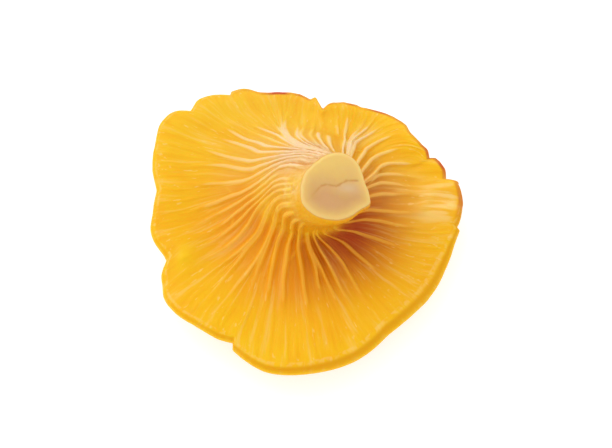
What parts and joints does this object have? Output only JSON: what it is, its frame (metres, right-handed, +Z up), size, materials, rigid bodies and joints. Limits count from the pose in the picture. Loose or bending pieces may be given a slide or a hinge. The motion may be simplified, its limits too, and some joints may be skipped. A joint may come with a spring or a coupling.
{
  "type": "chanterelle mushroom",
  "caption": "Golden chanterelle lying cap down: wavy lobed cap, forked blunt ridges running down a short cut stem that leans from its middle.",
  "frame": {"origin": "middle of the cap's bounding box in plan, on the surface the cap lies on", "axes": "+Z up from the surface towards the cut end of the stem, +X to the right and +Y away as the picture sees it"},
  "size_m": [0.0596, 0.0604, 0.0239],
  "materials": {
    "chanterelle_flesh": null
  },
  "bodies": {
    "root": {"chanterelle": "chanterelle_flesh"}
  },
  "joints": []
}
